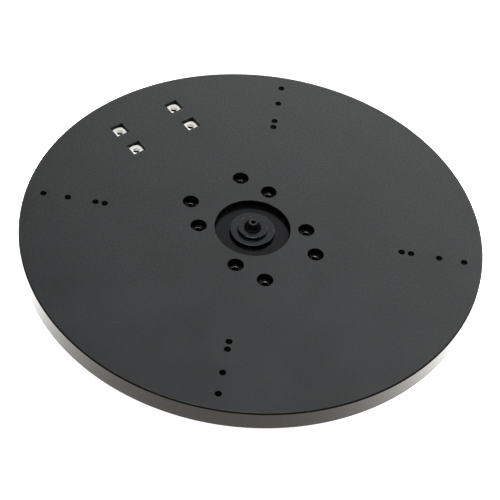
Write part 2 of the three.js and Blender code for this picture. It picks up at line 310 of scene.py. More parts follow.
def relieved_square(width: float, relief: float, steps: int = 8) -> list[Vector]:
    """Makes a square whose corners are opened by a small round cutter.

    Args:
        width: The square's width.
        relief: Radius of the cutter that opens each corner.
        steps: Straight steps in each relief.

    Returns:
        The footprint's points.
    """
    inset = width / 2 - relief / math.sqrt(2)
    points = []
    for quarter in range(4):
        middle = math.radians(45 + 90 * quarter)
        corner = Vector((math.cos(middle), math.sin(middle))) * inset * math.sqrt(2)
        for step in range(steps + 1):
            angle = middle - math.pi / 2 + math.pi * step / steps
            points.append(corner + Vector((math.cos(angle), math.sin(angle))) * relief)
    return points


def thread(crest: float, root: float, start: float, end: float, pitch: float) -> list[Corner]:
    """Lists the corners of a thread seen from the side, as rings one pitch apart.

    Args:
        crest: Radius at the thread's crest, where the walk starts.
        root: Radius at the bottom of each groove.
        start: Height where the walk starts.
        end: Height where it ends, above or below the start.
        pitch: Distance from one crest to the next.

    Returns:
        The outline's corners from start to end.
    """
    turns = max(1, int(abs(end - start) / pitch) - 1)
    step = math.copysign(pitch, end - start)
    first = start + (end - start - turns * step) / 2
    corners = []
    for turn in range(turns):
        height = first + turn * step
        corners.append(Corner(crest, height))
        corners += [Corner(root, height + step * share) for share in GROOVE]
    corners.append(Corner(crest, first + turns * step))
    return corners


def sleeve(inner: float, outer: float, bottom: float, top: float, fillet: float = 0.0) -> list[Corner]:
    """Lists the outline of a plain ring, or of a plug when its inner radius is 0.

    Args:
        inner: Inner radius.
        outer: Outer radius.
        bottom: Height of the lower face.
        top: Height of the upper face.
        fillet: Radius of every corner.

    Returns:
        The outline's corners.
    """
    corners = ((inner, bottom), (outer, bottom), (outer, top), (inner, top))
    return [Corner(radius, height, fillet) for radius, height in corners]


def stepped_hole(
    small: float, large: float, slab: Extent, seat: float, edge: float, fillet: float = 0.0
) -> list[Corner]:
    """Lists the outline of the cutter that counterbores a slab from above.

    Args:
        small: Radius of the hole.
        large: Radius of the counterbore.
        slab: Extent of the slab.
        seat: Height of the counterbore's floor.
        edge: Size of the chamfer at the slab's top.
        fillet: Radius of the rounding at the counterbore's floor.

    Returns:
        The outline's corners.
    """
    return [
        Corner(0, slab.bottom - OVERCUT),
        Corner(small, slab.bottom - OVERCUT),
        Corner(small, seat),
        Corner(large, seat, fillet),
        Corner(large, slab.top - edge, fillet / 2),
        Corner(large + edge, slab.top, fillet / 3),
        Corner(large + edge, slab.top + OVERCUT),
        Corner(0, slab.top + OVERCUT),
    ]


def drill(spot: Extent, radius: float, bottom: float, top: float) -> Piece:
    """Makes the cutter of a plain round hole.

    Args:
        spot: Where the hole is.
        radius: The hole's radius.
        bottom: Height of the cutter's lower end.
        top: Height of its upper end.

    Returns:
        The cutter in its place.
    """
    return moved(turned("drill", sleeve(0, radius, bottom, top), Fineness.SCREW), spot.x, spot.y)


def moved(piece: Piece, x: float, y: float, turn: float = 0.0) -> Piece:
    """Moves a piece's mesh in the plane and turns it about its own upright axis.

    Args:
        piece: The piece, standing on the Z axis.
        x: How far it goes along X.
        y: How far it goes along Y.
        turn: Angle in radians.

    Returns:
        The same piece.
    """
    piece.data.transform(Matrix.Translation((x, y, 0)) @ Matrix.Rotation(turn, 4, "Z"))
    return piece


def copy_of(piece: Piece, name: str) -> Piece:
    """Copies a piece with a mesh of its own.

    Args:
        piece: The piece to copy.
        name: The copy's name.

    Returns:
        The copy.
    """
    copy = bpy.data.objects.new(name, piece.data.copy())
    bpy.context.collection.objects.link(copy)
    return copy


def discard(pieces: Sequence[Piece]) -> None:
    """Removes helper pieces and their meshes."""
    for piece in pieces:
        data = piece.data
        bpy.data.objects.remove(piece)
        bpy.data.meshes.remove(data)


def settle(piece: Piece) -> None:
    """Replaces a piece's mesh by the result of its modifiers."""
    evaluated = piece.evaluated_get(bpy.context.evaluated_depsgraph_get())
    made = bpy.data.meshes.new_from_object(evaluated)
    old = piece.data
    piece.modifiers.clear()
    piece.data = made
    bpy.data.meshes.remove(old)


def combine(piece: Piece, others: Sequence[Piece], operation: Operation = Operation.CUT) -> Piece:
    """Cuts solids out of a piece, or keeps what it shares with one.

    Args:
        piece: The piece to change.
        others: Solids clear of each other, which are used up.
        operation: What becomes of the piece.

    Returns:
        The same piece.
    """
    gathered = bmesh.new()
    for other in others:
        gathered.from_mesh(other.data)
    tool = object_from("tool", gathered)
    modifier = piece.modifiers.new("shape", "BOOLEAN")
    modifier.operation = operation.value
    modifier.solver = "EXACT"
    modifier.object = tool
    settle(piece)
    discard([*others, tool])
    return piece


def smooth(piece: Piece, sharp_degrees: float = 32.0) -> Piece:
    """Shades a piece smooth with flat faces kept flat and sharp edges kept sharp.

    Args:
        piece: The piece.
        sharp_degrees: Edges that turn more than this stay sharp.

    Returns:
        The same piece.
    """
    piece.data.shade_smooth()
    piece.data.set_sharp_from_angle(angle=math.radians(sharp_degrees))
    weights = piece.modifiers.new("flat faces", "WEIGHTED_NORMAL")
    weights.keep_sharp = True
    weights.weight = 100
    settle(piece)
    return piece


# ------------------------------------------------------------------------------------ finishes


class Band(Enum):
    """Bands of a noise's values: where a pattern starts to show, and where it is full."""

    EVEN = (0.3, 0.7)
    MOTTLE = (0.35, 0.65)
    DUST = (0.35, 0.7)
    TARNISH = (0.4, 0.7)
    STAINS = (0.45, 0.75)
    RUBS = (0.5, 0.62)
    SCUFFS = (0.52, 0.62)
    CHIPS = (0.58, 0.62)
    SPECKS = (0.81, 0.85)


class Recipe:
    """A material being made: a Principled shader with short calls for the nodes that feed it."""

    def __init__(self, name: str) -> None:
        """Starts a material.

        Args:
            name: The material's name.
        """
        self.material = bpy.data.materials.new(name)
        self.material.use_nodes = True
        self.tree = self.material.node_tree
        self.tree.nodes.clear()
        output = self.tree.nodes.new("ShaderNodeOutputMaterial")
        self.shader = self.tree.nodes.new("ShaderNodeBsdfPrincipled")
        self.tree.links.new(self.shader.outputs["BSDF"], output.inputs["Surface"])
        self.place = self.tree.nodes.new("ShaderNodeTexCoord").outputs["Object"]

    def feed(self, node: bpy.types.Node, socket: str | int, value: Value) -> None:
        """Sets or feeds an input of any node.

        Args:
            node: The node.
            socket: The input's name or place.
            value: A number, a colour, or another node's output.
        """
        target = node.inputs[socket]
        if isinstance(value, Socket):
            self.tree.links.new(value, target)
        elif isinstance(value, tuple):
            target.default_value = (*value, 1.0)
        else:
            target.default_value = value

    def set(self, socket: str, value: Value) -> None:
        """Sets or feeds one of the shader's own sockets."""
        self.feed(self.shader, socket, value)

    def noise(self, grain: float, detail: float, place: Socket | None = None) -> Socket:
        """Adds a noise pattern.

        Args:
            grain: Size of its patches in metres.
            detail: Octaves of finer noise on top.
            place: Coordinates, or None for the object's own.

        Returns:
            The noise, from 0 to 1.
        """
        node = self.tree.nodes.new("ShaderNodeTexNoise")
        self.feed(node, "Vector", place or self.place)
        self.feed(node, "Scale", 1 / grain)
        self.feed(node, "Detail", detail)
        return node.outputs["Fac"]

    def spread(self, noise: Socket, band: Band, start: float, end: float) -> Socket:
        """Spreads a band of a noise over two values, clamped.

        Args:
            noise: The noise.
            band: The band of its values that is spread.
            start: Result at the band's low end.
            end: Result at its high end.

        Returns:
            The mapped value.
        """
        node = self.tree.nodes.new("ShaderNodeMapRange")
        self.feed(node, "Value", noise)
        for socket, value in zip(("From Min", "From Max", "To Min", "To Max"), (*band.value, start, end)):
            self.feed(node, socket, value)
        return node.outputs["Result"]

    def calc(self, operation: str, *values: Value) -> Socket:
        """Adds a maths node.

        Args:
            operation: The operation's name, such as ADD.
            values: Its inputs, constants or outputs.

        Returns:
            The result.
        """
        node = self.tree.nodes.new("ShaderNodeMath")
        node.operation = operation
        for index, value in enumerate(values):
            self.feed(node, index, value)
        return node.outputs[0]

    def total(self, first: Value, *others: Value) -> Value:
        """Adds up several values."""
        for other in others:
            first = self.calc("ADD", first, other)
        return first

    def blend(self, amount: Socket, first: Value, second: Value) -> Socket:
        """Blends two colours.

        Args:
            amount: 0 for the first colour, 1 for the second.
            first: A colour or an output.
            second: A colour or an output.

        Returns:
            The blended colour.
        """
        node = self.tree.nodes.new("ShaderNodeMix")
        node.data_type = "RGBA"
        self.feed(node, 0, amount)
        places = [place for place, socket in enumerate(node.inputs) if socket.type == "RGBA"]
        for place, value in zip(places, (first, second)):
            self.feed(node, place, value)
        return next(socket for socket in node.outputs if socket.type == "RGBA")

    def parts_of_place(self) -> tuple[Socket, ...]:
        """Splits the object's own coordinates into x, y and z."""
        split = self.tree.nodes.new("ShaderNodeSeparateXYZ")
        self.feed(split, 0, self.place)
        return tuple(split.outputs)

    def turned_place(self) -> Socket:
        """Makes coordinates of distance from the spin axis and height, for turned surfaces."""
        x, y, z = self.parts_of_place()
        square = [self.calc("MULTIPLY", part, part) for part in (x, y)]
        join = self.tree.nodes.new("ShaderNodeCombineXYZ")
        self.feed(join, 0, self.calc("SQRT", self.total(*square)))
        self.feed(join, 1, z)
        return join.outputs[0]

    def edge(self) -> Socket:
        """The vertex attribute that is 1 on rounded edges."""
        node = self.tree.nodes.new("ShaderNodeAttribute")
        node.attribute_name = EDGE
        return node.outputs["Fac"]

    def bump(self, height: Socket, depth: float, strength: float) -> None:
        """Raises the surface by a pattern.

        Args:
            height: The pattern, 0 to 1.
            depth: How deep it is in metres.
            strength: How much of it shows.
        """
        node = self.tree.nodes.new("ShaderNodeBump")
        self.feed(node, "Strength", strength)
        self.feed(node, "Distance", depth)
        self.feed(node, "Height", height)
        self.set("Normal", node.outputs["Normal"])


@dataclass(frozen=True)
class AnodisedFinish:
    """Black anodised aluminium, blasted or turned: clouded tone, fine mottle and dust specks."""

    name: str
    dark: Colour
    light: Colour
    roughness: float
    specular: float = 0.5
    tint: Colour = (1.0, 1.0, 1.0)
    patchiness: float = 0.08
    relief: float = 14.0
    turned_lines: float = 0.0
    wear: float = 0.0
    cloud: float = 55 * MM
    cloud_share: float = 0.25
    cloud_haze: float = 0.03
    mottle: float = 1.7 * MM
    grain: float = 0.55 * MM
    grain_haze: float = 0.02
    depth: float = 0.012 * MM
    depth_shown: float = 0.35
    line: float = 0.22 * MM
    speck: float = 1.1 * MM
    speck_share: float = 0.45
    speck_colour: Colour = (0.12, 0.12, 0.118)
    worn_patch: float = 2.4 * MM
    worn_colour: Colour = (0.16, 0.16, 0.17)

    def material(self) -> Material:
        """Makes the material."""
        recipe = Recipe(self.name)
        cloud = recipe.noise(self.cloud, detail=3.0)
        mottle = recipe.noise(self.mottle, detail=2.0)
        grain = recipe.noise(self.grain, detail=1.0)
        clouded = recipe.spread(cloud, Band.EVEN, 0.0, self.cloud_share)
        mottled = recipe.spread(mottle, Band.MOTTLE, 0.0, 1 - self.cloud_share)
        colour = recipe.blend(recipe.total(clouded, mottled), self.dark, self.light)
        specks = recipe.spread(recipe.noise(self.speck, detail=0.0), Band.SPECKS, 0.0, self.speck_share)
        colour = recipe.blend(specks, colour, self.speck_colour)
        if self.wear > 0:
            scuffs = recipe.spread(recipe.noise(self.worn_patch, detail=2.0), Band.SCUFFS, 0.0, self.wear)
            colour = recipe.blend(recipe.calc("MULTIPLY", recipe.edge(), scuffs), colour, self.worn_colour)
        recipe.set("Base Color", colour)
        rough = recipe.total(
            recipe.spread(cloud, Band.EVEN, -self.cloud_haze, self.cloud_haze),
            self.roughness,
            recipe.spread(mottle, Band.EVEN, self.patchiness, -self.patchiness),
            recipe.spread(grain, Band.EVEN, -self.grain_haze, self.grain_haze),
        )
        recipe.set("Roughness", rough)
        recipe.set("Specular IOR Level", self.specular)
        recipe.set("Specular Tint", self.tint)
        height = recipe.total(grain, recipe.calc("MULTIPLY", mottle, self.relief))
        if self.turned_lines > 0:
            lines = recipe.noise(self.line, detail=1.0, place=recipe.turned_place())
            height = recipe.total(height, recipe.calc("MULTIPLY", lines, self.turned_lines))
        recipe.bump(height, self.depth, self.depth_shown)
        return recipe.material


@dataclass(frozen=True)
class MetalFinish:
    """Bare or plated metal: uneven tone, small stains and fine machining lines."""

    name: str
    colour: Colour
    stain: Colour
    roughness: float
    stain_share: float = 0.5
    metallic: float = 1.0
    patch: float = 4 * MM
    patch_haze: tuple[float, float] = (-0.03, 0.06)
    grain: float = 0.5 * MM
    grain_haze: float = 0.04
    grain_height: float = 0.5
    line: float = 0.18 * MM
    line_depth: float = 0.004 * MM
    depth_shown: float = 0.4

    def material(self) -> Material:
        """Makes the material."""
        recipe = Recipe(self.name)
        patches = recipe.noise(self.patch, detail=4.0)
        grain = recipe.noise(self.grain, detail=2.0)
        lines = recipe.noise(self.line, detail=1.0, place=recipe.turned_place())
        stained = recipe.spread(patches, Band.STAINS, 0.0, self.stain_share)
        recipe.set("Base Color", recipe.blend(stained, self.colour, self.stain))
        haze = recipe.spread(grain, Band.EVEN, -self.grain_haze, self.grain_haze)
        dullness = recipe.spread(patches, Band.EVEN, *self.patch_haze)
        recipe.set("Roughness", recipe.total(haze, self.roughness, dullness))
        recipe.set("Metallic", self.metallic)
        height = recipe.total(lines, recipe.calc("MULTIPLY", grain, self.grain_height))
        recipe.bump(height, self.line_depth, self.depth_shown)
        return recipe.material


@dataclass(frozen=True)
class OxideFinish:
    """Oiled black oxide on steel screws, with brown traces and rubbed edges."""

    name: str = "black_oxide"
    colour: Colour = (0.0015, 0.0014, 0.0013)
    brown: Colour = (0.0045, 0.0033, 0.0022)
    brown_share: float = 0.8
    rubbed: Colour = (0.30, 0.29, 0.28)
    rubbed_share: float = 0.45
    patch: float = 2.2 * MM
    grain: float = 0.3 * MM
    roughness: float = 0.30
    haze: float = 0.05
    specular: float = 0.12
    depth: float = 0.01 * MM

    def material(self) -> Material:
        """Makes the material."""
        recipe = Recipe(self.name)
        patches = recipe.noise(self.patch, detail=3.0)
        grain = recipe.noise(self.grain, detail=2.0)
        tarnish = recipe.spread(patches, Band.TARNISH, 0.0, self.brown_share)
        rubs = recipe.spread(patches, Band.RUBS, 0.0, self.rubbed_share)
        colour = recipe.blend(tarnish, self.colour, self.brown)
        worn = recipe.calc("MULTIPLY", recipe.edge(), rubs)
        recipe.set("Base Color", recipe.blend(worn, colour, self.rubbed))
        recipe.set("Specular IOR Level", self.specular)
        haze = recipe.spread(grain, Band.EVEN, -self.haze, self.haze)
        recipe.set("Roughness", recipe.total(haze, self.roughness))
        recipe.bump(grain, self.depth, strength=0.3)
        return recipe.material


@dataclass(frozen=True)
class PaintedIronFinish:
    """Grey machine enamel over cast iron: faint orange peel, brush dust and tone changes."""

    name: str = "painted_iron"
    colour: Colour = (0.060, 0.064, 0.068)
    dusty: Colour = (0.105, 0.108, 0.110)
    chipped: Colour = (0.22, 0.21, 0.20)
    cloud: float = 30 * MM
    cloud_share: float = 0.6
    peel: float = 1.6 * MM
    peel_share: float = 0.2
    peel_depth: float = 0.05 * MM
    chip: float = 3 * MM
    roughness: tuple[float, float] = (0.34, 0.46)
    coat: float = 0.25
    coat_roughness: float = 0.25

    def material(self) -> Material:
        """Makes the material."""
        recipe = Recipe(self.name)
        cloud = recipe.noise(self.cloud, detail=4.0)
        peel = recipe.noise(self.peel, detail=2.0)
        dust = recipe.spread(cloud, Band.DUST, 0.0, self.cloud_share)
        tone = recipe.total(dust, recipe.spread(peel, Band.EVEN, 0.0, self.peel_share))
        colour = recipe.blend(tone, self.colour, self.dusty)
        chips = recipe.spread(recipe.noise(self.chip, detail=4.0), Band.CHIPS, 0.0, 1.0)
        chips = recipe.calc("MULTIPLY", recipe.edge(), chips)
        recipe.set("Base Color", recipe.blend(chips, colour, self.chipped))
        recipe.set("Roughness", recipe.spread(cloud, Band.EVEN, *self.roughness))
        recipe.set("Coat Weight", self.coat)
        recipe.set("Coat Roughness", self.coat_roughness)
        recipe.bump(peel, self.peel_depth, strength=0.45)
        return recipe.material


@dataclass(frozen=True)
class RubberFinish:
    """Matt black seal rubber with a dusty bloom."""

    name: str = "seal_rubber"
    colour: Colour = (0.012, 0.012, 0.012)
    dusty: Colour = (0.035, 0.035, 0.036)
    bloom: float = 7 * MM
    grain: float = 0.4 * MM
    depth: float = 0.02 * MM
    roughness: tuple[float, float] = (0.7, 0.85)
    sheen: float = 0.15

    def material(self) -> Material:
        """Makes the material."""
        recipe = Recipe(self.name)
        bloom = recipe.noise(self.bloom, detail=4.0)
        dust = recipe.spread(bloom, Band.DUST, 0.0, 1.0)
        recipe.set("Base Color", recipe.blend(dust, self.colour, self.dusty))
        recipe.set("Roughness", recipe.spread(bloom, Band.EVEN, *self.roughness))
        recipe.set("Sheen Weight", self.sheen)
        recipe.bump(recipe.noise(self.grain, detail=2.0), self.depth, strength=0.4)
        return recipe.material


class Finishes:
    """Every finish of the table, each made once."""

    def __init__(self) -> None:
        """Makes the materials."""
        self.plate = AnodisedFinish(
            "plate_anodised",
            dark=(0.0003, 0.0004, 0.0005),
            light=(0.0125, 0.0135, 0.0142),
            roughness=0.38,
            tint=(0.965, 0.985, 1.0),
        ).material()
        # The outer side's warm brown colour and warm specular tint are a painted reflection of warm
        # surroundings in front; its turned lines and smoother gloss are the rim's own.
        self.rim = AnodisedFinish(
            "rim_anodised_painted_warm_reflection",
            dark=(0.007, 0.0064, 0.0052),
            light=(0.012, 0.0108, 0.0088),
            roughness=0.24,
            specular=0.30,
            tint=(1.0, 0.92, 0.77),
            patchiness=0.02,
            relief=4.0,
            turned_lines=1.5,
        ).material()
        # Darker, duller copy of the anodising: painted shade on the walls and floors of openings, the rim's
        # chamfers, the hub's risers, the nozzle's cone and the nut bores.
        self.bore = AnodisedFinish(
            "painted_shade_anodised",
            dark=(0.0008, 0.0008, 0.0008),
            light=(0.0018, 0.0017, 0.0015),
            roughness=0.42,
            specular=0.1,
        ).material()
        self.spindle = AnodisedFinish(
            "spindle_anodised",
            dark=(0.0005, 0.0005, 0.0007),
            light=(0.0014, 0.0015, 0.0019),
            roughness=0.22,
            specular=0.21,
            tint=(0.94, 0.96, 1.0),
            patchiness=0.03,
            relief=2.0,
            turned_lines=2.0,
            wear=0.2,
        ).material()
        self.hub = AnodisedFinish(
            "hub_anodised",
            dark=(0.0018, 0.0020, 0.0026),
            light=(0.0042, 0.0046, 0.0060),
            roughness=0.25,
            specular=0.37,
            tint=(0.94, 0.96, 1.0),
            patchiness=0.03,
            relief=2.0,
            turned_lines=2.5,
            wear=0.3,
        ).material()
        self.oxide = OxideFinish().material()
        self.plated = MetalFinish(
            "bright_plated",
            colour=(0.93, 0.92, 0.88),
            stain=(0.80, 0.77, 0.70),
            roughness=0.42,
            stain_share=0.4,
            metallic=0.4,
            line_depth=0.006 * MM,
        ).material()
        self.worn = MetalFinish(
            "worn_steel",
            colour=(0.070, 0.068, 0.065),
            stain=(0.02, 0.017, 0.014),
            roughness=0.32,
            stain_share=0.8,
        ).material()
        self.steel = MetalFinish(
            "ground_steel",
            colour=(0.62, 0.63, 0.64),
            stain=(0.50, 0.49, 0.46),
            roughness=0.16,
            stain_share=0.3,
        ).material()
        self.brass = MetalFinish(
            "cage_brass", colour=(0.62, 0.43, 0.17), stain=(0.42, 0.27, 0.10), roughness=0.30
        ).material()
        self.iron = PaintedIronFinish().material()
        self.rubber = RubberFinish().material()


def dress(piece: Piece, *materials: Material) -> Piece:
    """Gives a piece its materials, the first on every face.

    Args:
        piece: The piece.
        materials: Its materials in slot order.

    Returns:
        The same piece.
    """
    piece.data.materials.clear()
    for material in materials:
        piece.data.materials.append(material)
    return piece


def sort_faces(piece: Piece, choose: Callable[[Face], int]) -> None:
    """Gives each face of a piece the material that a rule chooses.

    Args:
        piece: The dressed piece.
        choose: The rule, which returns a place among the piece's materials.
    """
    for face in piece.data.polygons:
        face.material_index = choose(face)


def off_axis(face: Face) -> float:
    """Distance of a face's middle from the Z axis."""
    return math.hypot(face.center.x, face.center.y)


def place_piece(piece: Piece, node: str, body: Body) -> None:
    """Puts a finished piece in the place of its frame node.

    Args:
        piece: The finished piece.
        node: The frame node that it stands for.
        body: The body that carries it.
    """
    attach(piece, body.value)
    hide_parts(node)
    log.info("%s rides on %s with %d faces", piece.name, body.value, len(piece.data.polygons))


@dataclass(frozen=True)
class SubAssembly:
    """Pieces that are made together and dressed in the table's finishes."""

    finishes: Finishes

    def plain(self, piece: Piece, node: str, body: Body, slot: Slot) -> None:
        """Smooths a piece, gives it the one finish of its slot and puts it in its place.

        Args:
            piece: The raw piece.
            node: The frame node that it stands for.
            body: The body that carries it.
            slot: The record's material slot of the node.
        """
        finish = {
            Slot.DARK_ANODISED: self.finishes.spindle,
            Slot.BEARING_STEEL: self.finishes.steel,
            Slot.CAGE_BRASS: self.finishes.brass,
            Slot.SEAL_RUBBER: self.finishes.rubber,
            Slot.CAST_IRON: self.finishes.iron,
        }[slot]
        place_piece(dress(smooth(piece), finish), node, body)


# ------------------------------------------------------------------------------------ fasteners


@dataclass(frozen=True)
class CapScrew:
    """A socket head cap screw that stands head up, its head's top at height 0."""

    shank_radius: float
    head_radius: float
    head_height: float
    socket_width: float
    pitch: float
    edge_share: float = 0.1
    thread_share: float = 0.6
    plain_share: float = 0.35
    socket_rounding: float = 0.03
    lead_in_depth: float = 0.5
    lead_in_rise: float = 0.1
    lead_in_spread: float = 1.22
    ribs_from: float = 0.13
    ribs_to: float = 0.94
    rib_depth: float = 0.12 * MM
    sharp_degrees: float = 40.0

    @property
    def socket_depth(self) -> float:
        """Half the head's height, as on standard screws."""
        return self.head_height / 2

    def outline(self, length: float) -> list[Corner]:
        """Lists the screw's outline from its tip to the top of its head.

        Args:
            length: Length of the shank under the head.

        Returns:
            The outline's corners.
        """
        edge = self.head_radius * self.edge_share
        tip = -self.head_height - length
        root = self.shank_radius - self.thread_share * self.pitch
        thread_top = max(tip + self.pitch, -self.head_height - length * self.plain_share)
        return [
            Corner(0, tip),
            Corner(root, tip, edge / 3),
            *thread(self.shank_radius, root, tip + self.pitch / 2, thread_top, self.pitch),
            Corner(self.shank_radius, -self.head_height, edge / 4),
            Corner(self.head_radius, -self.head_height, edge / 3),
            Corner(self.head_radius, -edge * 1.2, edge / 3),
            Corner(self.head_radius - edge, 0, edge / 3),
            Corner(0, 0),
        ]

    def build(self, length: float, finishes: Finishes) -> Piece:
        """Makes the screw with a knurled head and a hexagon socket that is rubbed bright.

        Args:
            length: Length of the shank under the head.
            finishes: The table's finishes.

        Returns:
            The screw.
        """
        screw = turned("pattern", self.outline(length), Fineness.SCREW)
        self.knurl(screw)
        flats = rounded_polygon(6, self.socket_width, self.socket_width * self.socket_rounding, 2)
        combine(screw, [prism("socket", flats, -self.socket_depth, OVERCUT)])
        corner = self.socket_width / math.sqrt(3)
        depth, rise = corner * self.lead_in_depth, corner * self.lead_in_rise
        cone = [Corner(0, -depth), Corner(corner * self.lead_in_spread, rise), Corner(0, rise)]
        combine(screw, [turned("lead in", cone, Fineness.SCREW)])
        return dress(smooth(screw, self.sharp_degrees), finishes.oxide, finishes.worn)

    def knurl(self, screw: Piece) -> None:
        """Draws every second line of the head's side in, which makes its grip ribs.

        Args:
            screw: The turned screw.
        """
        high = -self.head_radius * self.ribs_from
        low = -self.head_height * self.ribs_to
        side = self.head_radius * 0.98
        step = math.tau / Fineness.SCREW.value
        for vertex in screw.data.vertices:
            across = math.hypot(vertex.co.x, vertex.co.y)
            line = round(math.atan2(vertex.co.y, vertex.co.x) / step)
            if low < vertex.co.z < high and across > side and line % 2:
                share = 1 - self.rib_depth / across
                vertex.co.x *= share
                vertex.co.y *= share

    def in_socket(self, face: Face) -> bool:
        """Tells the side walls of the socket and its chamfer from the rest of the screw.

        Args:
            face: A face of the screw, whose head's top is at height 0.

        Returns:
            Whether the face is one of them.
        """
        chamfer_end, flat = self.socket_width * 0.72, 0.97
        sloped = off_axis(face) < chamfer_end and abs(face.normal.z) < flat
        return sloped and abs(face.center.z) < self.socket_depth


@dataclass(frozen=True)
class ScrewSet(SubAssembly):
    """Equal cap screws in their frame places."""

    prefix: str
    count: int
    screw: CapScrew
    body: Body
    head_down: bool = False
    turn_step: float = math.radians(47)

    def build(self) -> None:
        """Makes the screws and puts each in its place."""
        spots = extents(self.prefix, self.count)
        length = spots[0].top - spots[0].bottom - self.screw.head_height
        pattern = self.screw.build(length, self.finishes)
        if self.head_down:
            pattern.data.transform(Matrix.Rotation(math.pi, 4, "X"))
        sort_faces(pattern, self.screw.in_socket)
        for number, spot in enumerate(spots, 1):
            node = f"{self.prefix}_{number}"
            screw = moved(copy_of(pattern, f"{node}_fine"), spot.x, spot.y, self.turn_step * number)
            head_top = spot.bottom if self.head_down else spot.top
            screw.data.transform(Matrix.Translation((0, 0, head_top)))
            place_piece(screw, node, self.body)
        discard([pattern])


# ------------------------------------------------------------------------------------ table plate


@dataclass(frozen=True)
class TablePlate(SubAssembly):
    """The table plate, with its holes, and the square nuts in its pockets."""

    chamfer: float = 1.0 * MM
    rounding: float = 0.3 * MM
    hole_radius: float = 2.5 * MM
    hole_pitch: float = 1.0 * MM
    hole_chamfer: float = 0.2 * MM
    hole_rows: tuple[float, ...] = (120 * MM, 127.5 * MM, 150 * MM, 170 * MM)
    bore_radius: float = 30 * MM
    bore_edge: float = 0.45 * MM
    counterbore_radius: float = 6.35 * MM
    counterbore_depth: float = 14.1 * MM
    screw_hole_radius: float = 4.4 * MM
    screws: int = 8
    nuts: int = 4
    pocket_width: float = 11.6 * MM
    pocket_relief: float = 0.8 * MM
    pocket_gap: float = 0.3 * MM
    nut_hole_radius: float = 3.3 * MM
    grid_turn: float = math.radians(135)
    nut_width: float = 11 * MM
    nut_corner: float = 0.5 * MM
    nut_drop: float = 1.6 * MM
    nut_edge: float = 0.1 * MM
    nut_bore_radius: float = 2.5 * MM
    nut_thread: float = 0.6 * MM
    nut_lit_depth_share: float = 1.3

    def build(self) -> None:
        """Makes the plate and its nuts."""
        self.build_plate()
        for number, spot in enumerate(extents("square_nut", self.nuts), 1):
            self.build_nut(f"square_nut_{number}", spot)

    def build_plate(self) -> None:
        """Turns the disc and cuts everything out of it."""
        disc = Extent.of("table_plate")
        nuts = extents("square_nut", self.nuts)
        plate = turned("table_plate_fine", self.disc_outline(disc), Fineness.RIM)
        cutters = [self.tapped_hole(disc, row, quarter) for row in self.hole_rows for quarter in range(4)]
        cutters += [self.counterbore(disc, spot) for spot in extents("table_screw", self.screws)]
        cutters += [self.nut_pocket(disc, spot) for spot in nuts]
        combine(plate, cutters)
        combine(plate, [drill(s, self.nut_hole_radius, disc.bottom - OVERCUT, s.top) for s in nuts])
        # The third finish is painted shade on the walls and floors of the openings and on the rim's
        # chamfers.
        dress(smooth(plate), self.finishes.plate, self.finishes.rim, self.finishes.bore)
        sort_faces(plate, lambda face: self.finish_place(face, disc))
        place_piece(plate, "table_plate", Body.TABLE)

    def disc_outline(self, disc: Extent) -> list[Corner]:
        """Lists the disc's outline.

        Args:
            disc: The plate's extent in the frame.

        Returns:
            The outline's corners.
        """
        rim = disc.radius
        return [
            Corner(self.bore_radius + self.bore_edge, disc.bottom, self.rounding / 2),
            Corner(rim - self.chamfer, disc.bottom, self.rounding),
            Corner(rim, disc.bottom + self.chamfer, self.rounding),
            Corner(rim, disc.top - self.chamfer, self.rounding),
            Corner(rim - self.chamfer, disc.top, self.rounding),
            Corner(self.bore_radius + self.bore_edge, disc.top, self.rounding / 2),
            Corner(self.bore_radius, disc.top - self.bore_edge, self.rounding / 2),
            Corner(self.bore_radius, disc.bottom + self.bore_edge, self.rounding / 2),
        ]

    def tapped_hole(self, disc: Extent, row: float, quarter: int) -> Piece:
        """Makes the cutter of one tapped hole.

        Args:
            disc: The plate's extent.
            row: Distance of the hole from the spin axis.
            quarter: Which of the four rows it is in.

        Returns:
            The cutter in its place.
        """
        wide = self.hole_radius + self.hole_chamfer
        low, high = disc.bottom + self.hole_chamfer, disc.top - self.hole_chamfer
        outline = [
            Corner(0, disc.bottom - OVERCUT),
            Corner(wide, disc.bottom - OVERCUT),
            Corner(wide, disc.bottom),
            Corner(self.hole_radius, low),
            *thread(self.hole_radius, self.hole_radius + self.hole_pitch / 2, low, high, self.hole_pitch),
            Corner(self.hole_radius, high),
            Corner(wide, disc.top),
            Corner(wide, disc.top + OVERCUT),
            Corner(0, disc.top + OVERCUT),
        ]
        angle = math.pi / 2 * quarter
        cutter = turned("tapped hole", outline, Fineness.SCREW)
        return moved(cutter, row * math.cos(angle), row * math.sin(angle))

    def counterbore(self, disc: Extent, spot: Extent) -> Piece:
        """Makes the cutter of one screw's stepped hole.

        Args:
            disc: The plate's extent.
            spot: The screw's extent.

        Returns:
            The cutter in its place.
        """
        outline = stepped_hole(
            self.screw_hole_radius,
            self.counterbore_radius,
            disc,
            disc.top - self.counterbore_depth,
            self.hole_chamfer,
            self.hole_chamfer,
        )
        return moved(turned("counterbore", outline, Fineness.BOSS), spot.x, spot.y)

    def nut_pocket(self, disc: Extent, spot: Extent) -> Piece:
        """Makes the cutter of one nut's square pocket.

        Args:
            disc: The plate's extent.
            spot: The nut's extent.

        Returns:
            The cutter in its place.
        """
        footprint = relieved_square(self.pocket_width, self.pocket_relief)
        cutter = prism("nut pocket", footprint, spot.bottom - self.pocket_gap, disc.top + OVERCUT)
        return moved(cutter, spot.x, spot.y, self.grid_turn)

    def finish_place(self, face: Face, disc: Extent) -> int:
        """Picks a face's finish: the plate's, the outer side's, or the darker one painted as shade on every
        opening's walls and floors and on the rim's chamfers.

        Args:
            face: A face of the cut plate.
            disc: The plate's extent.

        Returns:
            The finish's place: 0 for the plate's, 1 for the outer side's, 2 for the walls' painted shade.
        """
        upright, sloped, flat = 0.3, 0.8, 0.9
        level = abs(face.normal.z)
        outside = disc.radius - self.chamfer - self.rounding
        if off_axis(face) > outside:
            return 1 if level < upright else 2 if level < sloped else 0
        inside = disc.bottom + MM < face.center.z < disc.top - MM
        return 2 if level < flat or inside else 0

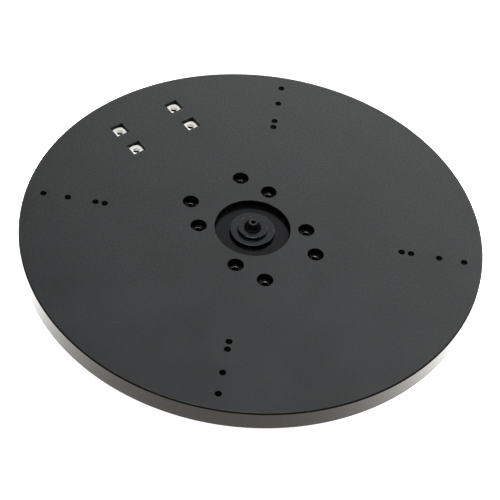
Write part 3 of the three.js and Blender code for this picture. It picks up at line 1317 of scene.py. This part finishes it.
    def build_nut(self, node: str, spot: Extent) -> None:
        """Makes one square nut with a chamfered top and a threaded bore whose lower part takes the dark
        finish as painted shade.

        Args:
            node: The nut's node.
            spot: Its extent.
        """
        footprint = rounded_polygon(4, self.nut_width, self.nut_corner)
        nut = prism(f"{node}_fine", footprint, spot.bottom, spot.top)
        outside = self.nut_width / math.sqrt(2) * 1.1
        envelope = [
            Corner(0, spot.bottom - OVERCUT),
            Corner(outside, spot.bottom - OVERCUT),
            Corner(outside, spot.top - self.nut_drop),
            Corner(self.nut_width / 2, spot.top, self.nut_edge),
            Corner(0, spot.top),
        ]
        combine(nut, [turned("envelope", envelope, Fineness.BOSS)], Operation.KEEP_SHARED)
        wide = self.nut_bore_radius + self.nut_thread
        low, high = spot.bottom + self.nut_thread, spot.top - self.nut_thread
        bore = [
            Corner(0, spot.bottom - OVERCUT),
            Corner(wide, spot.bottom - OVERCUT),
            Corner(wide, spot.bottom),
            *thread(self.nut_bore_radius, wide, low, high, self.hole_pitch),
            Corner(wide, spot.top),
            Corner(wide, spot.top + OVERCUT),
            Corner(0, spot.top + OVERCUT),
        ]
        combine(nut, [turned("bore", bore, Fineness.SCREW)])
        dress(smooth(nut), self.finishes.plated, self.finishes.bore)
        # Painted shade: bore faces deeper than this take the dark finish, because the bore's lower part lies
        # in shade.
        bore_painted_shade_below = spot.top - self.nut_bore_radius * self.nut_lit_depth_share
        wall = wide * 1.01
        sort_faces(nut, lambda face: off_axis(face) < wall and face.center.z < bore_painted_shade_below)
        moved(nut, spot.x, spot.y, self.grid_turn)
        place_piece(nut, node, Body.TABLE)


# ------------------------------------------------------------------------------------ hub


@dataclass(frozen=True)
class Hub(SubAssembly):
    """The stepped hub in the centre recess: disc, collar and centre nozzle."""

    shank_radius: float = 4.0 * MM
    gap: float = 0.3 * MM
    edge: float = 0.5 * MM
    collar_radius: float = 6.9 * MM
    collar_rise: float = 0.9 * MM
    foot_radius: float = 6.3 * MM
    tip_radius: float = 3.3 * MM
    bore_radius: float = 2.0 * MM
    upright: float = 0.5

    def build(self) -> None:
        """Makes the three pieces: the steps' risers and the nozzle's cone take the darker finish as painted
        shade, and the nozzle has a rubbed tip.
        """
        for node in ("hub_disc", "hub_collar"):
            step = turned(f"{node}_fine", self.step_outline(Extent.of(node)), Fineness.BOSS, 4)
            dress(smooth(step), self.finishes.hub, self.finishes.bore)
            # Painted shade: the upright faces of each step take the darker finish.
            sort_faces(step, lambda face: abs(face.normal.z) < self.upright)
            place_piece(step, node, Body.TABLE)
        nozzle = turned("center_nozzle_fine", self.nozzle_outline(), Fineness.BOSS, 4)
        # Painted shade: the cone takes the darker finish, and only the tip above it is rubbed steel.
        dress(smooth(nozzle), self.finishes.bore, self.finishes.worn)
        tip = Extent.of("center_nozzle").top - self.edge / 2
        sort_faces(nozzle, lambda face: face.center.z > tip)
        place_piece(nozzle, "center_nozzle", Body.TABLE)

    def step_outline(self, step: Extent) -> list[Corner]:
        """Lists the outline of one washer-shaped step.

        Args:
            step: The step's extent.

        Returns:
            The outline's corners.
        """
        bore = self.shank_radius + self.gap
        return [
            Corner(bore, step.bottom),
            Corner(step.radius - self.edge, step.bottom, self.edge / 3),
            Corner(step.radius, step.bottom + self.edge, self.edge / 3),
            Corner(step.radius, step.top, self.edge),
            Corner(bore, step.top),
        ]

    def nozzle_outline(self) -> list[Corner]:
        """Lists the nozzle's outline, from the bottom of its shank to its tip.

        Returns:
            The outline's corners.
        """
        whole = Extent.of("center_nozzle")
        foot = Extent.of("hub_collar").top + self.gap
        cone_foot = foot + self.collar_rise
        soft = self.edge / 2
        return [
            Corner(self.bore_radius, whole.bottom),
            Corner(self.shank_radius, whole.bottom, soft),
            Corner(self.shank_radius, foot),
            Corner(self.collar_radius, foot, soft / 2),
            Corner(self.collar_radius, cone_foot, soft),
            Corner(self.foot_radius, cone_foot, soft),
            Corner(self.tip_radius, whole.top, soft),
            Corner(self.bore_radius, whole.top, soft),
        ]


# ------------------------------------------------------------------------------------ spindle


@dataclass(frozen=True)
class Spindle(SubAssembly):
    """The spindle under the plate, its clamp ring and its dust seal."""

    flange_thickness: float = 12 * MM
    spigot_radius: float = 29.7 * MM
    shoulder_radius: float = 43.5 * MM
    journal_radius: float = 37.2 * MM
    bore_radius: float = 12 * MM
    top_wall: float = 8 * MM
    seat_gap: float = 0.3 * MM
    screw_radius: float = 4.3 * MM
    clamp_screws: int = 4
    clamp_hole_radius: float = 2.3 * MM
    clamp_hole_depth: float = 9 * MM
    head_hole_radius: float = 3.9 * MM
    head_hole_depth: float = 4.3 * MM
    lip_drop: float = 0.7 * MM
    lip_thickness: float = 0.8 * MM
    seal_wall: float = 3.2 * MM
    edge: float = 0.5 * MM

    def build(self) -> None:
        """Makes the three pieces."""
        self.build_spindle()
        self.build_clamp_ring()
        self.build_seal()

    def build_spindle(self) -> None:
        """Turns the spindle and drills it."""
        whole = Extent.of("spindle")
        flange_top = Extent.of("table_plate").bottom - self.seat_gap
        flange_bottom = flange_top - self.flange_thickness
        shoulder = Extent.of("bearing_inner_ring").top + self.seat_gap
        shank = Hub.shank_radius + self.seat_gap
        outline = [
            Corner(self.bore_radius, whole.bottom, self.edge),
            Corner(self.journal_radius, whole.bottom, self.edge),
            Corner(self.journal_radius, shoulder),
            Corner(self.shoulder_radius, shoulder, self.edge / 2),
            Corner(self.shoulder_radius, flange_bottom, self.edge),
            Corner(whole.radius, flange_bottom, self.edge),
            Corner(whole.radius, flange_top, self.edge),
            Corner(self.spigot_radius, flange_top),
            Corner(self.spigot_radius, whole.top, self.edge / 2),
            Corner(shank, whole.top),
            Corner(shank, whole.top - self.top_wall),
            Corner(self.bore_radius, whole.top - self.top_wall, self.edge),
        ]
        spindle = turned("spindle_fine", outline, Fineness.RING)
        low, high = flange_bottom - OVERCUT, flange_top + OVERCUT
        cutters = [drill(s, self.screw_radius, low, high) for s in extents("table_screw", TablePlate.screws)]
        low, high = whole.bottom - OVERCUT, whole.bottom + self.clamp_hole_depth
        spots = extents("clamp_screw", self.clamp_screws)
        cutters += [drill(s, self.clamp_hole_radius, low, high) for s in spots]
        combine(spindle, cutters)
        self.plain(spindle, "spindle", Body.TABLE, Slot.DARK_ANODISED)

    def build_clamp_ring(self) -> None:
        """Turns the clamp ring and counterbores it from below."""
        ring = Extent.of("clamp_ring")
        seat = Extent.of("bearing_inner_ring").bottom - self.seat_gap
        outline = [
            Corner(self.bore_radius, ring.bottom, self.edge),
            Corner(ring.radius, ring.bottom, self.edge),
            Corner(ring.radius, seat, self.edge / 2),
            Corner(self.journal_radius, seat),
            Corner(self.journal_radius, ring.top, self.edge / 2),
            Corner(self.bore_radius, ring.top),
        ]
        clamp = turned("clamp_ring_fine", outline, Fineness.RING)
        spots = extents("clamp_screw", self.clamp_screws)
        low, high = ring.bottom - OVERCUT, ring.top + OVERCUT
        combine(clamp, [drill(spot, self.clamp_hole_radius, low, high) for spot in spots])
        floor = ring.bottom + self.head_hole_depth
        combine(clamp, [drill(spot, self.head_hole_radius, low, floor) for spot in spots])
        self.plain(clamp, "clamp_ring", Body.TABLE, Slot.DARK_ANODISED)

    def build_seal(self) -> None:
        """Turns the seal with its thin lip."""
        seal = Extent.of("dust_seal")
        inner = self.shoulder_radius + self.seat_gap
        wall = inner + self.seal_wall
        lip = Extent.of("bearing_cover").top + self.seat_gap
        outline = [
            Corner(inner, seal.bottom),
            Corner(wall, seal.bottom, self.edge),
            Corner(wall, lip + self.lip_drop, self.edge / 2),
            Corner(seal.radius, lip, self.lip_thickness / 4),
            Corner(seal.radius, lip + self.lip_thickness, self.lip_thickness / 4),
            Corner(wall, seal.top, self.edge),
            Corner(inner, seal.top),
        ]
        ring = turned("dust_seal_fine", outline, Fineness.RING)
        self.plain(ring, "dust_seal", Body.TABLE, Slot.SEAL_RUBBER)


# ------------------------------------------------------------------------------------ bearing


@dataclass(frozen=True)
class BallRow:
    """The row of balls: radius of the circle of their centres, its height, and the balls' radius."""

    pitch: float
    height: float
    ball: float


@dataclass(frozen=True)
class BallBearing(SubAssembly):
    """The deep-groove ball bearing: two rings, a cage and its balls."""

    balls: int = 12
    groove_gap: float = 0.35 * MM
    shoulder: float = 2.6 * MM
    edge: float = 0.8 * MM
    groove_steps: int = 16
    cage_thickness: float = 4 * MM
    cage_edge: float = 0.5 * MM
    ball_cuts: int = 9

    def build(self) -> None:
        """Makes every piece of the bearing."""
        spots = extents("bearing_ball", self.balls)
        first = spots[0]
        row = BallRow(math.hypot(first.x, first.y), (first.bottom + first.top) / 2, first.radius)
        bore = Spindle.journal_radius + Spindle.seat_gap
        back = Extent.of("bearing_outer_ring").radius
        self.build_ring("bearing_inner_ring", row, bore, -1, Body.TABLE)
        self.build_ring("bearing_outer_ring", row, back, 1, Body.BASE)
        self.build_cage(row)
        for number, spot in enumerate(spots, 1):
            self.build_ball(f"bearing_ball_{number}", row, spot)

    def build_ring(self, node: str, row: BallRow, back: float, side: int, body: Body) -> None:
        """Turns a ring with the ball groove in its face.

        Args:
            node: The ring's node.
            row: The row of balls.
            back: Radius of the ring's plain side.
            side: -1 for the ring inside the balls, 1 for the one outside.
            body: The body that carries the ring.
        """
        ring = Extent.of(node)
        groove = row.ball + self.groove_gap
        face = row.pitch + side * self.shoulder
        lip = math.acos(self.shoulder / groove)
        arc = []
        for step in range(self.groove_steps + 1):
            angle = -lip + 2 * lip * step / self.groove_steps
            radius = row.pitch + side * groove * math.cos(angle)
            arc.append(Corner(radius, row.height + groove * math.sin(angle)))
        outline = [
            Corner(back, ring.bottom, self.edge),
            Corner(face, ring.bottom, self.edge / 2),
            *arc,
            Corner(face, ring.top, self.edge / 2),
            Corner(back, ring.top, self.edge),
        ]
        piece = turned(f"{node}_fine", outline, Fineness.RING)
        self.plain(piece, node, body, Slot.BEARING_STEEL)

    def build_cage(self, row: BallRow) -> None:
        """Turns the cage and opens its windows.

        Args:
            row: The row of balls.
        """
        band = Extent.of("ball_cage")
        inner = band.radius - self.cage_thickness
        outline = sleeve(inner, band.radius, band.bottom, band.top, self.cage_edge)
        cage = turned("ball_cage_fine", outline, Fineness.RING)
        low, high = band.radius - 3 * self.cage_thickness, band.radius + self.cage_thickness
        windows = []
        for number in range(self.balls):
            window = turned("window", sleeve(0, row.ball + self.groove_gap, low, high), Fineness.SCREW)
            window.data.transform(Matrix.Rotation(math.pi / 2, 4, "Y"))
            window.data.transform(Matrix.Translation((0, 0, row.height)))
            windows.append(moved(window, 0, 0, math.tau * number / self.balls))
        combine(cage, windows)
        self.plain(cage, "ball_cage", Body.BALL_SET, Slot.CAGE_BRASS)

    def build_ball(self, node: str, row: BallRow, spot: Extent) -> None:
        """Makes one ball from a cube that is divided and pushed out to a sphere.

        Args:
            node: The ball's node.
            row: The row of balls.
            spot: The ball's extent.
        """
        mesh = bmesh.new()
        bmesh.ops.create_cube(mesh, size=row.ball)
        bmesh.ops.subdivide_edges(mesh, edges=mesh.edges, cuts=self.ball_cuts, use_grid_fill=True)
        for vertex in mesh.verts:
            vertex.co = vertex.co.normalized() * row.ball
        piece = object_from(f"{node}_fine", mesh)
        piece.data.transform(Matrix.Translation((spot.x, spot.y, (spot.bottom + spot.top) / 2)))
        self.plain(piece, node, Body.BALL_SET, Slot.BEARING_STEEL)


# ------------------------------------------------------------------------------------ base


@dataclass(frozen=True)
class Base(SubAssembly):
    """The fixed pieces: base plate, bearing housing and bearing cover."""

    edge: float = 1.5 * MM
    soft: float = 0.3 * MM
    base_bore: float = 53 * MM
    housing_bore: float = 57.8 * MM
    cover_bore: float = 51 * MM
    screws: int = 6
    screw_hole: float = 2.4 * MM
    tap_depth: float = 8.3 * MM
    head_hole: float = 3.9 * MM
    head_depth: float = 4.7 * MM
    bolt_circle: float = 94 * MM
    bolt_hole: float = 4.5 * MM
    bolt_head: float = 7.5 * MM
    bolt_head_depth: float = 5 * MM

    def build(self) -> None:
        """Makes the three pieces."""
        spots = extents("cover_screw", self.screws)
        self.build_plate(spots)
        self.build_housing(spots)
        self.build_cover(spots)

    def build_plate(self, spots: Sequence[Extent]) -> None:
        """Turns the base plate and drills its hold-down and tapped holes.

        Args:
            spots: Where the cover screws stand.
        """
        plate = Extent.of("base_plate")
        outline = [
            Corner(self.base_bore, plate.bottom, self.soft),
            Corner(plate.radius - self.edge, plate.bottom, self.soft),
            Corner(plate.radius, plate.bottom + self.edge, self.soft),
            Corner(plate.radius, plate.top - self.edge, self.soft),
            Corner(plate.radius - self.edge, plate.top, self.soft),
            Corner(self.base_bore, plate.top, self.soft),
        ]
        body = turned("base_plate_fine", outline, Fineness.RING)
        cutters = [drill(s, self.screw_hole, plate.top - self.tap_depth, plate.top + OVERCUT) for s in spots]
        seat = plate.top - self.bolt_head_depth
        for quarter in range(4):
            angle = math.radians(45 + 90 * quarter)
            hole = stepped_hole(self.bolt_hole, self.bolt_head, plate, seat, self.soft)
            cutter = turned("hold-down hole", hole, Fineness.BOSS)
            x = self.bolt_circle * math.cos(angle)
            cutters.append(moved(cutter, x, self.bolt_circle * math.sin(angle)))
        combine(body, cutters)
        self.plain(body, "base_plate", Body.BASE, Slot.CAST_IRON)

    def build_housing(self, spots: Sequence[Extent]) -> None:
        """Turns the bearing housing and drills it for the cover screws.

        Args:
            spots: Where the cover screws stand.
        """
        housing = Extent.of("bearing_housing")
        outline = sleeve(self.housing_bore, housing.radius, housing.bottom, housing.top, self.soft)
        body = turned("bearing_housing_fine", outline, Fineness.RING)
        low, high = housing.bottom - OVERCUT, housing.top + OVERCUT
        combine(body, [drill(spot, self.screw_hole, low, high) for spot in spots])
        self.plain(body, "bearing_housing", Body.BASE, Slot.CAST_IRON)

    def build_cover(self, spots: Sequence[Extent]) -> None:
        """Turns the bearing cover and sinks its screw holes.

        Args:
            spots: Where the cover screws stand.
        """
        cover = Extent.of("bearing_cover")
        outline = [
            Corner(self.cover_bore, cover.bottom, self.soft),
            Corner(cover.radius, cover.bottom, self.soft),
            Corner(cover.radius, cover.top - self.edge, self.soft),
            Corner(cover.radius - self.edge, cover.top, self.soft),
            Corner(self.cover_bore, cover.top, self.soft),
        ]
        ring = turned("bearing_cover_fine", outline, Fineness.RING)
        low, high = cover.bottom - OVERCUT, cover.top + OVERCUT
        combine(ring, [drill(spot, self.screw_hole, low, high) for spot in spots])
        floor = cover.top - self.head_depth
        combine(ring, [drill(spot, self.head_hole, floor, high) for spot in spots])
        self.plain(ring, "bearing_cover", Body.BASE, Slot.DARK_ANODISED)


# ------------------------------------------------------------------------------------ studio


@dataclass(frozen=True)
class Softbox:
    """A rectangular studio light that faces the table."""

    name: str
    place: Triple
    width: float
    height: float
    power: float
    target: Triple = (0.0, 0.0, 0.05)

    def build(self) -> None:
        """Hangs the light."""
        data = bpy.data.lights.new(self.name, "AREA")
        data.shape = "RECTANGLE"
        data.size = self.width
        data.size_y = self.height
        data.energy = self.power
        lamp = bpy.data.objects.new(self.name, data)
        lamp.location = self.place
        facing = Vector(self.target) - Vector(self.place)
        lamp.rotation_euler = facing.to_track_quat("-Z", "Y").to_euler()
        bpy.context.collection.objects.link(lamp)


@dataclass(frozen=True)
class Studio:
    """Pale floor, pale surroundings, soft lights and the camera."""

    floor_radius: float = 9.0
    floor_segments: int = 96
    floor_sink: float = 0.02 * MM
    floor_colour: Colour = (0.45, 0.45, 0.45)
    floor_fleck: Colour = (0.47, 0.47, 0.47)
    floor_grain: float = 2 * MM
    floor_roughness: float = 0.9
    floor_specular: float = 0.1
    floor_glow: float = 1.0
    side_glow: float = 2.6
    glow_reach: float = 0.2
    glow_limit: float = 5.5
    surroundings: float = 0.05
    softboxes: tuple[Softbox, ...] = (
        Softbox("back softbox", (0.45, 2.15, 2.25), 3.0, 1.2, 9.7),
        Softbox("low back softbox", (0.4, 2.7, 1.5), 3.0, 1.0, 21),
        Softbox("right back softbox", (1.5, 1.9, 2.35), 1.5, 2.0, 12),
        Softbox("overhead softbox", (0.0, -0.35, 2.4), 1.5, 1.5, 68),
    )
    azimuth: float = math.radians(3.562)
    elevation: float = math.radians(47.100)
    roll: float = math.radians(6.765)
    distance: float = 1.28947
    lens: float = 118.07
    sensor_width: float = 36.0
    view_limit: float = 50.0
    aim: tuple[float, float] = (1.584 * MM, -24.493 * MM)

    def build(self) -> None:
        """Makes the whole studio."""
        self.build_floor()
        self.build_surroundings()
        for softbox in self.softboxes:
            softbox.build()
        self.build_camera()

    def build_floor(self) -> None:
        """Lays the floor, a wide pale disc just under the base that glows more to its sides."""
        mesh = bmesh.new()
        segments = self.floor_segments
        bmesh.ops.create_circle(mesh, cap_ends=True, radius=self.floor_radius, segments=segments)
        floor = object_from("floor", mesh)
        floor.location.z = -self.floor_sink
        recipe = Recipe("floor_paper")
        grain = recipe.noise(self.floor_grain, detail=2.0)
        recipe.set("Base Color", recipe.blend(grain, self.floor_colour, self.floor_fleck))
        recipe.set("Roughness", self.floor_roughness)
        recipe.set("Specular IOR Level", self.floor_specular)
        recipe.set("Emission Color", WHITE)
        x = recipe.parts_of_place()[0]
        aside = recipe.calc("DIVIDE", recipe.calc("ABSOLUTE", x), self.glow_reach)
        rise = recipe.calc("MULTIPLY", recipe.calc("POWER", aside, 4.0), self.side_glow)
        glow = recipe.calc("MINIMUM", recipe.total(rise, self.floor_glow), self.glow_limit)
        recipe.set("Emission Strength", glow)
        dress(floor, recipe.material)

    def build_surroundings(self) -> None:
        """Makes the surroundings: white to the eye, and dim where they light the table."""
        world = bpy.data.worlds.new("surroundings")
        bpy.context.scene.world = world
        world.use_nodes = True
        nodes, links = world.node_tree.nodes, world.node_tree.links
        nodes.clear()
        output = nodes.new("ShaderNodeOutputWorld")
        path = nodes.new("ShaderNodeLightPath")
        mix = nodes.new("ShaderNodeMixShader")
        links.new(path.outputs["Is Camera Ray"], mix.inputs[0])
        for socket, strength in enumerate((self.surroundings, 1.0), 1):
            light = nodes.new("ShaderNodeBackground")
            light.inputs["Color"].default_value = (*WHITE, 1.0)
            light.inputs["Strength"].default_value = strength
            links.new(light.outputs[0], mix.inputs[socket])
        links.new(mix.outputs[0], output.inputs["Surface"])

    def build_camera(self) -> None:
        """Sets the camera up, looking down at the plate."""
        scene = bpy.context.scene
        data = bpy.data.cameras.new("camera")
        data.lens = self.lens
        data.sensor_width = self.sensor_width
        data.clip_end = self.view_limit
        camera = bpy.data.objects.new("camera", data)
        out, up = math.cos(self.elevation), math.sin(self.elevation)
        back = Vector((math.sin(self.azimuth) * out, -math.cos(self.azimuth) * out, up))
        aim = Vector((*self.aim, Extent.of("table_plate").top))
        camera.location = aim + back * self.distance
        upright = (-back).to_track_quat("-Z", "Y").to_matrix().to_4x4()
        camera.rotation_euler = (upright @ Matrix.Rotation(self.roll, 4, "Z")).to_euler()
        bpy.context.collection.objects.link(camera)
        scene.camera = camera
        scene.view_settings.view_transform = "Standard"


def main() -> None:
    """Builds the studio and every sub-assembly in order."""
    logging.basicConfig(level=logging.INFO, format="%(name)s: %(message)s")
    large = CapScrew(
        shank_radius=4 * MM, head_radius=6 * MM, head_height=8 * MM, socket_width=6 * MM, pitch=1.25 * MM
    )
    small = CapScrew(
        shank_radius=2 * MM, head_radius=3.5 * MM, head_height=4 * MM, socket_width=3 * MM, pitch=0.7 * MM
    )
    Studio().build()
    finishes = Finishes()
    for part in (TablePlate, Hub, Spindle, BallBearing, Base):
        part(finishes).build()
    table_turn = math.radians(4)
    ScrewSet(finishes, "table_screw", TablePlate.screws, large, Body.TABLE, turn_step=table_turn).build()
    ScrewSet(finishes, "clamp_screw", Spindle.clamp_screws, small, Body.TABLE, head_down=True).build()
    ScrewSet(finishes, "cover_screw", Base.screws, small, Body.BASE).build()


if __name__ == "__main__":
    main()
